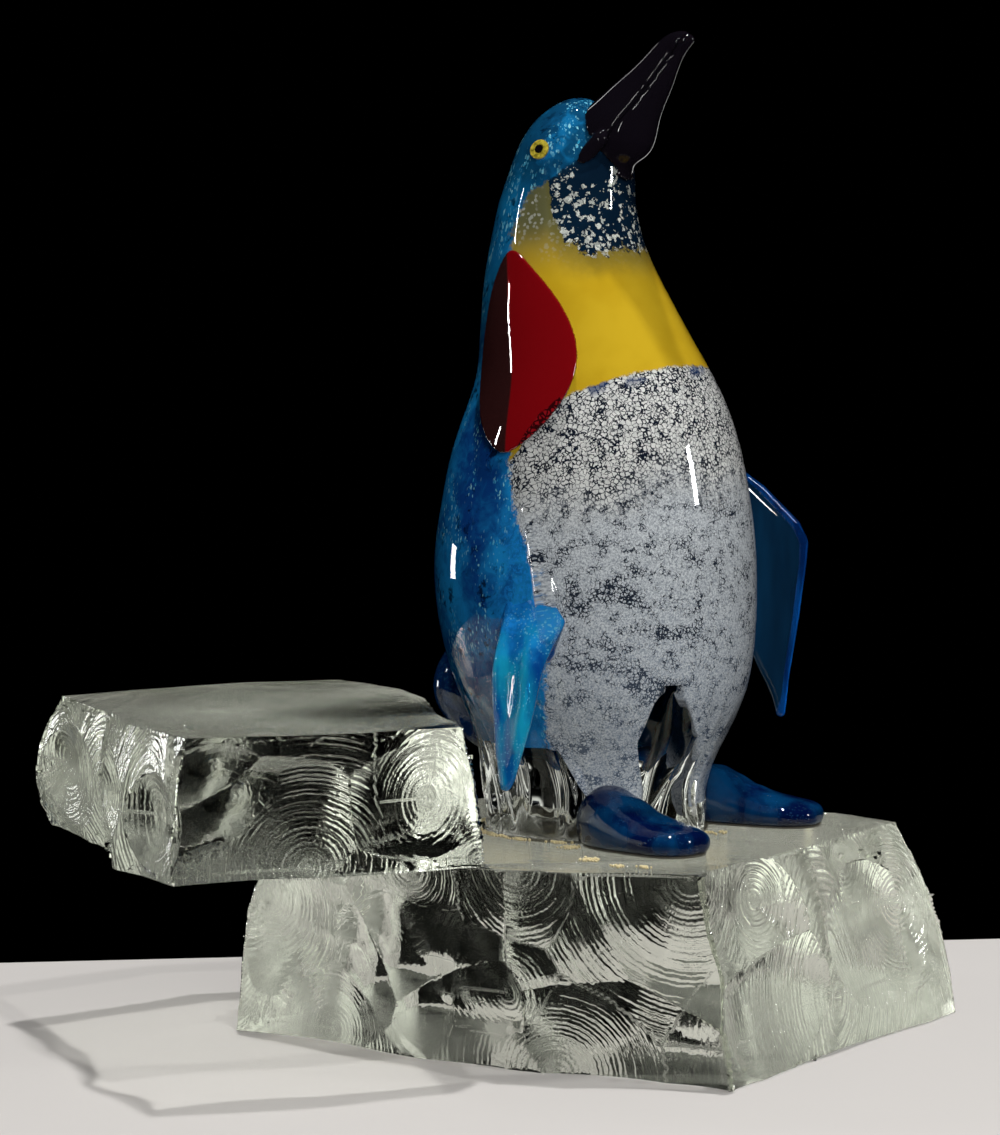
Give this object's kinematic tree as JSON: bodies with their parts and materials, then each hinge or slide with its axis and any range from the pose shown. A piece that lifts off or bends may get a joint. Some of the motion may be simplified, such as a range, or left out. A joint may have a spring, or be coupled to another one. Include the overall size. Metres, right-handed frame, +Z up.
{
  "type": "penguin figurine",
  "caption": "Hot-worked glass penguin that looks up, with a yellow neck, red ear patches and a crackled white belly, glued to stacked blocks of knapped clear glass.",
  "frame": {"origin": "middle of the lower block's sawn underside, on the surface that the object stands on", "axes": "+Z up, -Y towards the viewer of the picture, +X to the viewer's right; the penguin faces between +X and -Y, turned 59 degrees from -Y"},
  "size_m": [0.3992, 0.2995, 0.4186],
  "materials": {
    "ice_glass": "clear, sawn faces and knapped sides",
    "clear_glass": "clear, fire-polished",
    "clear_bond": "clear cured adhesive",
    "blue_layer": "mottled blue glass with bright flecks",
    "crackle_layer": "white and silver crackle over dark glass",
    "yellow_layer": "opaque yellow glass",
    "navy_layer": "dark navy glass with silver flakes",
    "red_glass": "deep red glass",
    "iris_glass": "opaque yellow glass",
    "black_glass": "black glass, fire-polished",
    "blue_glass": "transparent blue glass",
    "cobalt_glass": "transparent cobalt glass",
    "gold_glue": "cured golden adhesive"
  },
  "bodies": {
    "root": {"lower_ice_block": "ice_glass", "upper_ice_block": "ice_glass", "block_bond": "clear_bond", "body_core": "clear_glass", "clear_casing": "clear_glass", "back_colour": "blue_layer", "belly_colour": "crackle_layer", "neck_colour": "yellow_layer", "throat_colour": "navy_layer", "ear_patch_right": "red_glass", "ear_patch_left": "red_glass", "eye_iris_right": "iris_glass", "eye_iris_left": "iris_glass", "eye_pupil_right": "black_glass", "eye_pupil_left": "black_glass", "upper_beak": "black_glass", "lower_beak": "black_glass", "flipper_right": "blue_glass", "flipper_left": "blue_glass", "tail": "blue_glass", "foot_right": "cobalt_glass", "foot_left": "cobalt_glass", "body_adhesive": "gold_glue", "foot_adhesive_right": "gold_glue", "foot_adhesive_left": "gold_glue"}
  },
  "joints": []
}
